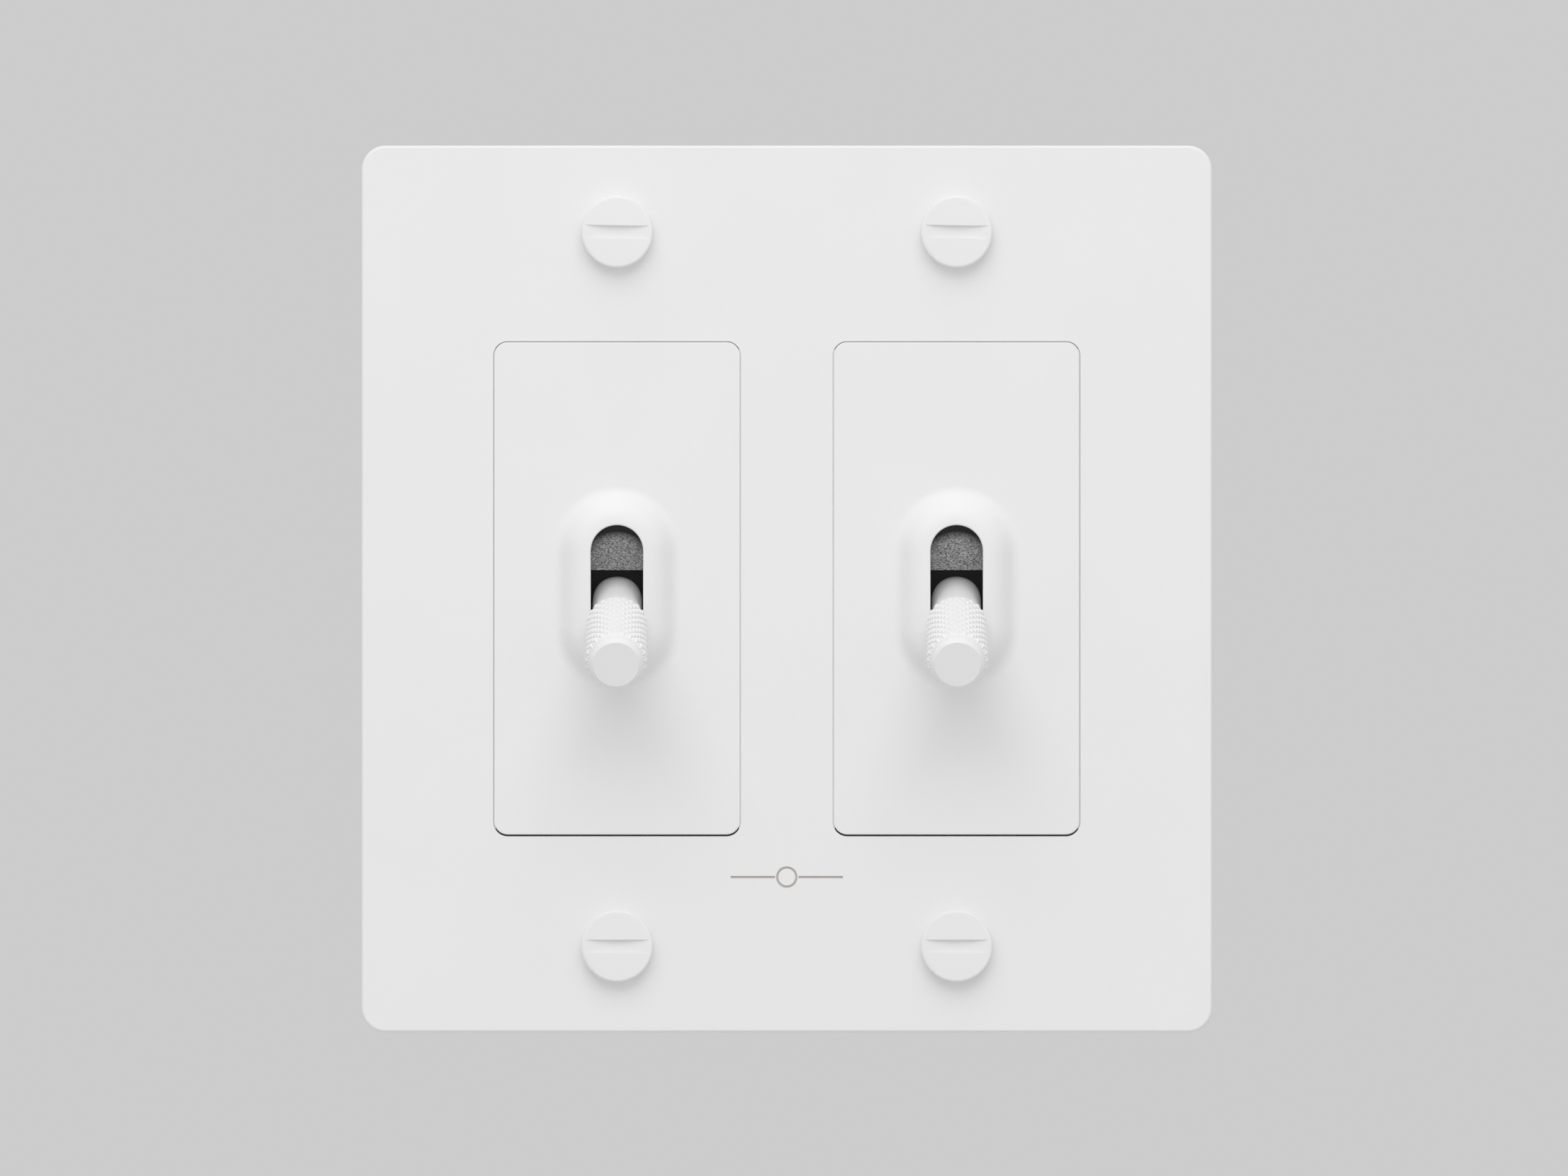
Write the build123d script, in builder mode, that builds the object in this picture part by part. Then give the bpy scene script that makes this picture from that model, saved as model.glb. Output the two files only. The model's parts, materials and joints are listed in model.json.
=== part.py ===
from build123d import *
import os
from math import cos, hypot, radians, sin, sqrt

# A two-gang toggle switch for a wall. X is to the right, Y goes into the wall and Z is up.
# The origin is the middle of the cover plate, on the wall's surface.

# ---- driving dimensions (millimetres, degrees) --------------------------------------------
GANG_PITCH = 46.04                 # between the two switches, as in every two-gang box
PLATE_WIDTH, PLATE_HEIGHT, PLATE_CORNER = 115.4, 120.3, 3.3
PLATE_DEPTH, PLATE_SKIN, PLATE_RIM, PLATE_INNER_CORNER = 5.2, 2.0, 3.5, 1.5
PLATE_EDGE_ROUND = 0.4
WINDOW_WIDTH, WINDOW_HEIGHT, WINDOW_CORNER = 33.5, 67.1, 1.9
PANEL_WIDTH, PANEL_HEIGHT, PANEL_CORNER = 33.3, 66.8, 1.8
PANEL_PROUD, PANEL_RISE = 0.2, 0.08
GAP_EDGE_ROUND = 0.15              # on both edges of the gap between a panel and the plate

SLOT_WIDTH, SLOT_HEIGHT = 7.1, 17.3
DOME_SPREAD, DOME_HEIGHT, DOME_TAPER = 4.4, 3.0, 40
DOME_TOP_ROUND, DOME_BASE_ROUND, SLOT_EDGE_ROUND = 3.5, 1.9, 0.2
LIP_THICKNESS = 0.8

LEVER_TILT = 18.5                  # the lever's angle below level when it is down
PIVOT_TO_RIM = 12.5
NECK_START, GRIP_START, GRIP_END, CAP_END = 4.7, 15.0, 30.8, 32.1
NECK_RADIUS, GRIP_RADIUS, CAP_RADIUS = 3.35, 4.15, 3.6
GRIP_CHAMFER, CAP_CHAMFER = 0.5, 0.5
CORE_RADIUS, STUD_RADIUS, STUD_END = 2.2, 1.5, 1.9

DOLLY_HALF_WIDTH = 4.1
RIDGE = (6.3, 4.78)                # from the pivot: out along the lever, then across it
WING_TIP = (7.64, 12.47)
WING_THICKNESS, WING_EDGE_DROP = 1.7, 0.5
RECESS_HALF_WIDTH = 4.2
SKIRT_HALF_WIDTH, SKIRT_START, SKIRT_END = 3.0, 2.0, 8.0
WING_ROOT = (0.5, 3.6)              # where the back of a wing meets the skirt
HUB_RADIUS, HUB_HALF_WIDTH = 2.6, 7.0
SWEEP_CLEARANCE, SIDE_CLEARANCE, SWEEP_CROWN = 0.5, 0.3, 2.5

PIN_RADIUS, PIN_CLEARANCE, PIN_HALF_LENGTH, PIN_CHAMFER = 1.2, 0.05, 9.2, 0.2
PLUNGER_RADIUS, PLUNGER_CLEARANCE = 1.8, 0.06
PLUNGER_START, PLUNGER_TIP, PLUNGER_BORE_END = 3.9, 11.0, 9.0
PLUNGER_BORE_RADIUS, GUIDE_START = 1.3, 2.6
SPRING_WIRE, SPRING_TURNS = 0.2, 6

FULCRUM_DEPTH = 13.0               # from the lever's pivot to the contact bar's
ROCKER_TILT = 7
ROCKER_THICKNESS, ROCKER_HALF_LENGTH, ROCKER_HALF_WIDTH = 1.1, 9.9, 2.5
HORN_HALF_SPAN, HORN_LAND, HORN_FOOT = 3.9, 0.7, 1.3
SADDLE_GAP = 0.12
CONTACT_HEIGHT, CONTACT_RADIUS, CONTACT_SPAN = 0.8, 1.5, 8.2
FULCRUM_RADIUS, FULCRUM_GAP = 0.7, 0.1
FIXED_CONTACT_GAP = 2.1            # from the fulcrum's depth to the fixed contacts' faces
FIXED_BUTTON_HEIGHT = 0.9

STRAP = 1.0
STRAP_HALF_HEIGHT, COMMON_HALF_HEIGHT = 2.8, 2.2
PAD_X, PAD_FRONT_Y, PAD_HALF_HEIGHT = 12.0, 8.0, 4.2
STRAP_OVERRUN, RIDGE_OVERRUN = 2.5, 0.5
TERMINAL_Y, TERMINAL_Z = 13.2, 12.0
TERMINAL_SCREW_RADIUS, TERMINAL_HEAD_RADIUS, TERMINAL_HEAD_HEIGHT = 1.9, 3.6, 2.4
TERMINAL_SCREW_LENGTH = 3.0

YOKE_THICKNESS, YOKE_WIDTH, YOKE_BODY_HEIGHT, YOKE_HEIGHT = 1.4, 33.0, 70.0, 106.4
YOKE_CORNER = 1.5
YOKE_NECK_WIDTH, EAR_RADIUS, EAR_X, EAR_Z, EAR_HOLE_RADIUS = 22.0, 5.2, 16.2, 47.9, 2.1
WINDOW_HALF_X, WINDOW_HALF_Z = 7.4, 15.6
BOX_SCREW_SPACING, PLATE_SCREW_SPACING = 83.34, 96.84
BOX_SLOT_LENGTH, BOX_SLOT_WIDTH = 7.0, 4.0
TAPPED_RADIUS, PLATE_HOLE_RADIUS = 1.78, 2.1
TAB_WIDTH, TAB_REACH, TAB_Z, TAB_HOLE_Y = 7.5, 10.0, -39.75, 5.5

SCREW_HEAD_RADIUS, SCREW_HEAD_HEIGHT, SCREW_HEAD_ROUND = 4.87, 2.1, 0.35
SCREW_SHANK_RADIUS, SCREW_END_Y = 1.7, 4.0
COIN_SLOT_WIDTH, COIN_SLOT_CHORD, COIN_CUTTER_RADIUS = 1.75, 8.7, 16.0
TOP_SCREW_TURN = 0.9               # the upper two coin slots are not quite level
BOX_SCREW_RADIUS, BOX_NECK_RADIUS, BOX_NECK_END, BOX_SCREW_END = 1.75, 1.55, 1.4, 24.0
BOX_HEAD_RADIUS, BOX_HEAD_HEIGHT, DRIVE_SLOT, DRIVE_DEPTH = 3.4, 1.6, 0.9, 0.8
RETAINER_SIZE, RETAINER_CORNER, RETAINER_THICKNESS, RETAINER_GAP = 9.0, 0.8, 0.8, 0.1
RETAINER_GRIP = 0.05

HOUSING_WIDTH, HOUSING_HEIGHT, HOUSING_CORNER, HOUSING_BACK_ROUND = 32.0, 66.0, 1.5, 1.0
COVER_THICKNESS, HOUSING_END_Y, FLOOR = 2.2, 27.0, 2.0
CHAMBER_HALF_WIDTH, CHAMBER_HEIGHT, RIB = 7.4, 35.0, 2.0
SIDE_CHAMBER_WIDTH, SIDE_CHAMBER_HEIGHT = 5.0, 44.0
BAY_HEIGHT, BAY_FRONT_Y, BAY_BACK_Y = 10.0, 8.4, 18.0
STRAP_CLEARANCE = 0.15
CUT_MARGIN = 0.1                   # how far a cutter runs past what it cuts
MODULE_SCREW_X, MODULE_SCREW_Z, MODULE_SCREW_RADIUS, MODULE_HOLE_RADIUS = 12.5, 28.5, 1.2, 1.4
MODULE_HEAD_RADIUS, MODULE_HEAD_HEIGHT, MODULE_SCREW_BITE = 2.5, 1.6, 2.6
MODULE_HEAD_CLEARANCE, MODULE_TIP_CLEARANCE = 0.2, 0.2
POST_SIDE_GAP, POST_EDGE_GAP = 0.2, 0.1

MOTIF_Z, MOTIF_RING, MOTIF_STROKE, MOTIF_LINE, MOTIF_DEPTH = -39.1, 1.3, 0.3, 6.0, 0.15

# ---- places worked out from them ----------------------------------------------------------
PANEL_FRONT_Y = -(PLATE_DEPTH + PANEL_PROUD)
RIM_Y = PANEL_FRONT_Y - DOME_HEIGHT
PIVOT_Y = RIM_Y + PIVOT_TO_RIM
FULCRUM_Y = PIVOT_Y + FULCRUM_DEPTH
TILT = radians(LEVER_TILT)
ROCK = radians(ROCKER_TILT)
SIDES = {"left": -GANG_PITCH / 2, "right": GANG_PITCH / 2}
TERMINAL_PLACES = [(1, TERMINAL_Z), (1, -TERMINAL_Z), (-1, 0)]    # outward way, then height


# ---- planes -------------------------------------------------------------------------------
def facing_room(x, y, z=0.0):
    """A plane at depth y that faces the room, with its x to the right and its y up."""
    return Plane(origin=(x, y, z), x_dir=(1, 0, 0), z_dir=(0, -1, 0))


def facing_right(x):
    """An upright plane at x that faces right, with its x into the wall and its y up."""
    return Plane(origin=(x, 0, 0), x_dir=(0, 1, 0), z_dir=(1, 0, 0))


def level(x, z):
    """A level plane at height z, with its x to the right and its y into the wall."""
    return Plane(origin=(x, 0, z), x_dir=(1, 0, 0), z_dir=(0, 0, 1))


def along_lever(x):
    """The lever's own upright plane: x out along the lever from its pivot, y up across it."""
    return Plane(origin=(x, PIVOT_Y, 0), x_dir=(0, -cos(TILT), -sin(TILT)), z_dir=(-1, 0, 0))


def across_lever(x, distance):
    """A plane square to the lever at a distance from its pivot, with its y up."""
    place = along_lever(x).from_local_coords((distance, 0, 0))
    return Plane(origin=place, x_dir=(1, 0, 0), z_dir=(0, -cos(TILT), -sin(TILT)))


def lever_axis(x):
    return Axis((x, PIVOT_Y, 0), (0, -cos(TILT), -sin(TILT)))


def along_rocker(x):
    """The contact bar's upright plane at its fulcrum: x to the back, y along the bar."""
    return Plane(origin=(x, FULCRUM_Y, 0), x_dir=(0, cos(ROCK), -sin(ROCK)), z_dir=(1, 0, 0))


def write(piece, name):
    """Label a finished piece and write it to its own file."""
    piece.part.label = name
    export_step(piece.part, f"parts/{name}.step")


# ---- cover plate and its screws -----------------------------------------------------------
def make_front_plate():
    with BuildPart() as plate:
        with BuildSketch(facing_room(0, 0)):
            RectangleRounded(PLATE_WIDTH, PLATE_HEIGHT, PLATE_CORNER)
        extrude(amount=PLATE_DEPTH)
        front = plate.faces().sort_by(Axis.Y)[0]
        fillet(front.outer_wire().edges(), radius=PLATE_EDGE_ROUND)
        with BuildSketch(facing_room(0, 0)):
            RectangleRounded(
                PLATE_WIDTH - 2 * PLATE_RIM, PLATE_HEIGHT - 2 * PLATE_RIM, PLATE_INNER_CORNER
            )
        extrude(amount=PLATE_DEPTH - PLATE_SKIN, mode=Mode.SUBTRACT)
        with BuildSketch(facing_room(0, -PLATE_DEPTH)):
            with GridLocations(GANG_PITCH, 1, 2, 1):
                RectangleRounded(WINDOW_WIDTH, WINDOW_HEIGHT, WINDOW_CORNER)
        extrude(amount=-PLATE_DEPTH, mode=Mode.SUBTRACT)
        windows = plate.faces().sort_by(Axis.Y)[0].inner_wires()
        fillet([edge for wire in windows for edge in wire.edges()], radius=GAP_EDGE_ROUND)
        with BuildSketch(facing_room(0, -PLATE_DEPTH)):
            with GridLocations(GANG_PITCH, PLATE_SCREW_SPACING, 2, 2):
                Circle(PLATE_HOLE_RADIUS)
        extrude(amount=-PLATE_DEPTH, mode=Mode.SUBTRACT)
        # a plain engraved ring between two short lines
        with BuildSketch(facing_room(0, -PLATE_DEPTH, MOTIF_Z)):
            Circle(MOTIF_RING + MOTIF_STROKE / 2)
            Circle(MOTIF_RING - MOTIF_STROKE / 2, mode=Mode.SUBTRACT)
            with GridLocations(2 * MOTIF_RING + 2 * MOTIF_STROKE + MOTIF_LINE, 1, 2, 1):
                Rectangle(MOTIF_LINE, MOTIF_STROKE)
        extrude(amount=-MOTIF_DEPTH, mode=Mode.SUBTRACT)
    return plate


def make_plate_screws():
    """Four round heads, each with a coin slot that a disc cutter left, deepest in the middle."""
    face_y = -PLATE_DEPTH - SCREW_HEAD_HEIGHT
    cutter_y = face_y - sqrt(COIN_CUTTER_RADIUS**2 - (COIN_SLOT_CHORD / 2) ** 2)
    with BuildPart() as screws:
        with BuildSketch(facing_room(0, -PLATE_DEPTH)):
            with GridLocations(GANG_PITCH, PLATE_SCREW_SPACING, 2, 2):
                Circle(SCREW_HEAD_RADIUS)
        extrude(amount=SCREW_HEAD_HEIGHT)
        fillet(screws.faces().group_by(Axis.Y)[0].edges(), radius=SCREW_HEAD_ROUND)
        with BuildSketch(facing_room(0, -PLATE_DEPTH)):
            with GridLocations(GANG_PITCH, PLATE_SCREW_SPACING, 2, 2):
                Circle(SCREW_SHANK_RADIUS)
        extrude(amount=-PLATE_DEPTH - SCREW_END_Y)
        for x in SIDES.values():
            for z, turn in ((PLATE_SCREW_SPACING / 2, TOP_SCREW_TURN), (-PLATE_SCREW_SPACING / 2, 0)):
                slant = (sin(radians(turn)), 0, cos(radians(turn)))
                level_way = (cos(radians(turn)), 0, -sin(radians(turn)))
                with BuildSketch(Plane(origin=(x, cutter_y, z), x_dir=level_way, z_dir=slant)):
                    Circle(COIN_CUTTER_RADIUS)
                extrude(amount=COIN_SLOT_WIDTH / 2, both=True, mode=Mode.SUBTRACT)
    return screws


# ---- face panel ---------------------------------------------------------------------------
def swept_space(x):
    """The room that the dolly's wings need: a barrel about the pivot, flat towards the room."""
    middle = hypot(*WING_TIP) + SWEEP_CLEARANCE
    side_x = DOLLY_HALF_WIDTH + SIDE_CLEARANCE
    shoulder = middle - SWEEP_CROWN
    with BuildPart() as space:
        with BuildSketch(level(x, 0)):
            with BuildLine():
                ThreePointArc(
                    (-side_x, PIVOT_Y - shoulder), (0, PIVOT_Y - middle), (side_x, PIVOT_Y - shoulder)
                )
                Polyline(
                    (side_x, PIVOT_Y - shoulder),
                    (side_x, PIVOT_Y),
                    (-side_x, PIVOT_Y),
                    (-side_x, PIVOT_Y - shoulder),
                )
            make_face()
        revolve(axis=Axis((x, PIVOT_Y, 0), (1, 0, 0)))
        split(bisect_by=facing_room(x, RIM_Y + LIP_THICKNESS), keep=Keep.BOTTOM)
    return space.part


def make_face_panel(x):
    wing_room = swept_space(x)
    with BuildPart() as panel:
        with BuildSketch(facing_room(x, -YOKE_THICKNESS, PANEL_RISE)):
            RectangleRounded(PANEL_WIDTH, PANEL_HEIGHT, PANEL_CORNER)
        extrude(amount=-PANEL_FRONT_Y - YOKE_THICKNESS)
        fillet(panel.faces().sort_by(Axis.Y)[0].edges(), radius=GAP_EDGE_ROUND)
        with BuildSketch(facing_room(x, PANEL_FRONT_Y)):
            SlotOverall(SLOT_HEIGHT + 2 * DOME_SPREAD, SLOT_WIDTH + 2 * DOME_SPREAD, rotation=90)
        extrude(amount=DOME_HEIGHT, taper=DOME_TAPER)
        fillet(panel.faces().sort_by(Axis.Y)[0].edges(), radius=DOME_TOP_ROUND)
        foot = [face for face in panel.faces().filter_by(Axis.Y) if face.inner_wires()][0]
        fillet(foot.inner_wires()[0].edges(), radius=DOME_BASE_ROUND)
        with BuildSketch(facing_room(x, RIM_Y)):
            SlotOverall(SLOT_HEIGHT, SLOT_WIDTH, rotation=90)
        extrude(amount=-2 * LIP_THICKNESS, mode=Mode.SUBTRACT)
        rim = panel.faces().sort_by(Axis.Y)[0].inner_wires()[0]
        fillet(rim.edges(), radius=SLOT_EDGE_ROUND)
        add(wing_room, mode=Mode.SUBTRACT)
        with BuildSketch(facing_room(x, -YOKE_THICKNESS)):
            with GridLocations(2 * MODULE_SCREW_X, 2 * MODULE_SCREW_Z, 2, 2):
                Circle(MODULE_SCREW_RADIUS)
        extrude(amount=MODULE_SCREW_BITE + MODULE_TIP_CLEARANCE, mode=Mode.SUBTRACT)
    return panel


# ---- the moving lever ---------------------------------------------------------------------
def make_dolly(x):
    """A hub on the pin, two wings that keep the slot closed, and a skirt for the plunger."""
    upper = [
        (NECK_START, RECESS_HALF_WIDTH),
        RIDGE,
        WING_TIP,
        (WING_TIP[0] - WING_THICKNESS, WING_TIP[1] - WING_EDGE_DROP),
        WING_ROOT,
        (-SKIRT_START, SKIRT_HALF_WIDTH),
        (-SKIRT_END, SKIRT_HALF_WIDTH),
    ]
    lower = [(out, -across) for out, across in reversed(upper)]
    with BuildPart() as dolly:
        with BuildSketch(along_lever(x)):
            with BuildLine():
                Polyline(*upper, *lower, close=True)
            make_face()
        extrude(amount=DOLLY_HALF_WIDTH, both=True)
        with BuildSketch(across_lever(x, 0)):
            SlotOverall(2 * WING_TIP[1], 2 * DOLLY_HALF_WIDTH, rotation=90)
        extrude(amount=2 * PIVOT_TO_RIM, both=True, mode=Mode.INTERSECT)
        with BuildSketch(facing_right(x)):
            with Locations((PIVOT_Y, 0)):
                Circle(HUB_RADIUS)
        extrude(amount=HUB_HALF_WIDTH, both=True)
        with BuildSketch(facing_right(x)):
            with Locations((PIVOT_Y, 0)):
                Circle(PIN_RADIUS + PIN_CLEARANCE)
        extrude(amount=HUB_HALF_WIDTH, both=True, mode=Mode.SUBTRACT)
        with BuildSketch(across_lever(x, -GUIDE_START)):
            Circle(PLUNGER_RADIUS + PLUNGER_CLEARANCE)
        extrude(amount=GUIDE_START - SKIRT_END, mode=Mode.SUBTRACT)
        with BuildSketch(across_lever(x, NECK_START)):
            Circle(STUD_RADIUS)
        extrude(amount=STUD_END - NECK_START, mode=Mode.SUBTRACT)
    return dolly


def turned_on_lever(x, outline):
    """A round piece on the lever's axis, from (distance, radius) points on its outline."""
    with BuildPart() as piece:
        with BuildSketch(along_lever(x)):
            with BuildLine():
                Polyline(*outline, close=True)
            make_face()
        revolve(axis=lever_axis(x))
    return piece


def make_lever_stem(x):
    return turned_on_lever(
        x,
        [
            (STUD_END, 0),
            (STUD_END, STUD_RADIUS),
            (NECK_START, STUD_RADIUS),
            (NECK_START, NECK_RADIUS),
            (GRIP_START, NECK_RADIUS),
            (GRIP_START, CORE_RADIUS),
            (GRIP_END, CORE_RADIUS),
            (GRIP_END, 0),
        ],
    )


def make_lever_grip(x):
    return turned_on_lever(
        x,
        [
            (GRIP_START, CORE_RADIUS),
            (GRIP_START, GRIP_RADIUS - GRIP_CHAMFER),
            (GRIP_START + GRIP_CHAMFER, GRIP_RADIUS),
            (GRIP_END - GRIP_CHAMFER, GRIP_RADIUS),
            (GRIP_END, GRIP_RADIUS - GRIP_CHAMFER),
            (GRIP_END, CORE_RADIUS),
        ],
    )


def make_lever_cap(x):
    return turned_on_lever(
        x,
        [
            (GRIP_END, 0),
            (GRIP_END, CAP_RADIUS),
            (CAP_END - CAP_CHAMFER, CAP_RADIUS),
            (CAP_END, CAP_RADIUS - CAP_CHAMFER),
            (CAP_END, 0),
        ],
    )


def make_pivot_pin(x):
    with BuildPart() as pin:
        with BuildSketch(facing_right(x)):
            with Locations((PIVOT_Y, 0)):
                Circle(PIN_RADIUS)
        extrude(amount=PIN_HALF_LENGTH, both=True)
        ends = pin.edges().group_by(Axis.X)
        chamfer(ends[0] + ends[-1], length=PIN_CHAMFER)
    return pin


# ---- plunger, spring and contact bar ------------------------------------------------------
def make_plunger(x):
    """A cup with a ball nose, open towards the pivot to take the spring."""
    nose = PLUNGER_TIP - PLUNGER_RADIUS
    slant = PLUNGER_RADIUS * sqrt(0.5)
    with BuildPart() as plunger:
        with BuildSketch(along_lever(x)):
            with BuildLine():
                Polyline(
                    (-PLUNGER_TIP, 0),
                    (-PLUNGER_BORE_END, 0),
                    (-PLUNGER_BORE_END, PLUNGER_BORE_RADIUS),
                    (-PLUNGER_START, PLUNGER_BORE_RADIUS),
                    (-PLUNGER_START, PLUNGER_RADIUS),
                    (-nose, PLUNGER_RADIUS),
                )
                ThreePointArc((-nose, PLUNGER_RADIUS), (-nose - slant, slant), (-PLUNGER_TIP, 0))
            make_face()
        revolve(axis=lever_axis(x))
    return plunger


def make_plunger_spring(x):
    radius = PLUNGER_BORE_RADIUS - 2 * SPRING_WIRE
    height = PLUNGER_BORE_END - GUIDE_START - 4 * SPRING_WIRE
    start = across_lever(x, -PLUNGER_BORE_END + 2 * SPRING_WIRE)
    with BuildPart() as spring:
        with BuildLine():
            coil = Helix(
                pitch=height / SPRING_TURNS,
                height=height,
                radius=radius,
                center=start.origin,
                direction=start.z_dir,
            )
        with BuildSketch(Plane(origin=coil @ 0, z_dir=coil % 0)):
            Circle(SPRING_WIRE)
        sweep(path=coil, is_frenet=True)
    return spring


def saddle():
    """The contact bar's hollow, as its centre's distance in front of the fulcrum and its radius.

    The plunger's nose draws an arc on the bar as both turn. The hollow follows that arc.
    """
    nose = PLUNGER_TIP - PLUNGER_RADIUS
    middle = nose - FULCRUM_DEPTH
    away_y, away_z = nose * cos(TILT) - FULCRUM_DEPTH, nose * sin(TILT)
    end_back = away_y * cos(ROCK) - away_z * sin(ROCK)
    end_up = away_y * sin(ROCK) + away_z * cos(ROCK)
    sag = middle - end_back
    path_radius = (end_up**2 + sag**2) / (2 * sag)
    return path_radius - middle, path_radius + PLUNGER_RADIUS + SADDLE_GAP


def make_contact_rocker(x):
    centre, radius = saddle()
    horn = sqrt(radius**2 - HORN_HALF_SPAN**2) - centre
    land = HORN_HALF_SPAN + HORN_LAND
    arm = [
        (horn, land),
        (-ROCKER_THICKNESS, land + HORN_FOOT),
        (-ROCKER_THICKNESS, ROCKER_HALF_LENGTH),
        (0, ROCKER_HALF_LENGTH),
    ]
    with BuildPart() as rocker:
        with BuildSketch(along_rocker(x)):
            with BuildLine():
                ThreePointArc((horn, -HORN_HALF_SPAN), (radius - centre, 0), (horn, HORN_HALF_SPAN))
                Polyline((horn, HORN_HALF_SPAN), *arm, *[(back, -up) for back, up in reversed(arm)],
                         (horn, -HORN_HALF_SPAN))
            make_face()
            Circle(FULCRUM_RADIUS + FULCRUM_GAP, mode=Mode.SUBTRACT)
        extrude(amount=ROCKER_HALF_WIDTH, both=True)
    return rocker


def make_moving_contacts(x):
    """Two round buttons on the back of the bar's ends."""
    with BuildPart() as contacts:
        for side in (-1, 1):
            foot = along_rocker(x).from_local_coords((0, side * CONTACT_SPAN, 0))
            with BuildSketch(Plane(origin=foot, x_dir=(1, 0, 0), z_dir=(0, cos(ROCK), -sin(ROCK)))):
                Circle(CONTACT_RADIUS)
            extrude(amount=CONTACT_HEIGHT)
    return contacts


# ---- terminals ----------------------------------------------------------------------------
def make_fixed_contact(x, side):
    """A strap from the contact button to the terminal pad on the right, side +1 up or -1 down."""
    strap_y = FULCRUM_Y + FIXED_CONTACT_GAP + FIXED_BUTTON_HEIGHT
    button_z = side * CONTACT_SPAN * cos(ROCK)
    pad_end = TERMINAL_Z + PAD_HALF_HEIGHT
    pad_height = pad_end - (abs(button_z) - STRAP_HALF_HEIGHT)
    with BuildPart() as contact:
        with BuildSketch(level(x, button_z)):
            with Locations(((PAD_X - STRAP_OVERRUN) / 2, strap_y + STRAP / 2)):
                Rectangle(PAD_X + STRAP_OVERRUN, STRAP)
        extrude(amount=STRAP_HALF_HEIGHT, both=True)
        with BuildSketch(level(x, side * (pad_end - pad_height / 2))):
            with Locations((PAD_X + STRAP / 2, (PAD_FRONT_Y + strap_y + STRAP) / 2)):
                Rectangle(STRAP, strap_y + STRAP - PAD_FRONT_Y)
        extrude(amount=pad_height / 2, both=True)
        with BuildSketch(facing_room(x, strap_y, button_z)):
            Circle(CONTACT_RADIUS)
        extrude(amount=FIXED_BUTTON_HEIGHT)
        with BuildSketch(facing_right(x + PAD_X)):
            with Locations((TERMINAL_Y, side * TERMINAL_Z)):
                Circle(TERMINAL_SCREW_RADIUS)
        extrude(amount=STRAP, mode=Mode.SUBTRACT)
    return contact


def make_common_terminal(x):
    """A ridge for the contact bar to rock on, and a strap from it to the pad on the left."""
    strap_y = FULCRUM_Y + FULCRUM_RADIUS
    reach = ROCKER_HALF_WIDTH + RIDGE_OVERRUN
    with BuildPart() as terminal:
        with BuildSketch(facing_right(x)):
            with Locations((FULCRUM_Y, 0)):
                Circle(FULCRUM_RADIUS)
            with Locations((FULCRUM_Y + FULCRUM_RADIUS / 2, 0)):
                Rectangle(FULCRUM_RADIUS, 2 * FULCRUM_RADIUS)
        extrude(amount=reach, both=True)
        with BuildSketch(level(x, 0)):
            with Locations(((reach - PAD_X) / 2, strap_y + STRAP / 2)):
                Rectangle(reach + PAD_X, STRAP)
        extrude(amount=COMMON_HALF_HEIGHT, both=True)
        with BuildSketch(level(x, 0)):
            with Locations((-PAD_X - STRAP / 2, (PAD_FRONT_Y + strap_y + STRAP) / 2)):
                Rectangle(STRAP, strap_y + STRAP - PAD_FRONT_Y)
        extrude(amount=PAD_HALF_HEIGHT, both=True)
        with BuildSketch(facing_right(x - PAD_X)):
            with Locations((TERMINAL_Y, 0)):
                Circle(TERMINAL_SCREW_RADIUS)
        extrude(amount=-STRAP, mode=Mode.SUBTRACT)
    return terminal


def slotted_screw(head_plane, length, radius, head_radius, head_height):
    """A slotted head standing on a plane, and its shank below that plane."""
    with BuildPart() as screw:
        with BuildSketch(head_plane):
            Circle(head_radius)
        extrude(amount=head_height)
        with BuildSketch(head_plane):
            Circle(radius)
        extrude(amount=-length)
        with BuildSketch(head_plane.offset(head_height)):
            Rectangle(2 * (head_radius + CUT_MARGIN), DRIVE_SLOT)
        extrude(amount=-DRIVE_DEPTH, mode=Mode.SUBTRACT)
    return screw.part


def side_plane(x, outward, y, z):
    """A plane facing left (outward -1) or right (+1), with its y up."""
    return Plane(origin=(x, y, z), x_dir=(0, outward, 0), z_dir=(outward, 0, 0))


def make_terminal_screws(x):
    face = PAD_X + STRAP
    screws_made = [
        slotted_screw(
            side_plane(x + outward * face, outward, TERMINAL_Y, z),
            TERMINAL_SCREW_LENGTH,
            TERMINAL_SCREW_RADIUS,
            TERMINAL_HEAD_RADIUS,
            TERMINAL_HEAD_HEIGHT,
        )
        for outward, z in TERMINAL_PLACES
    ]
    with BuildPart() as screws:
        add(screws_made)
    return screws


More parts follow.
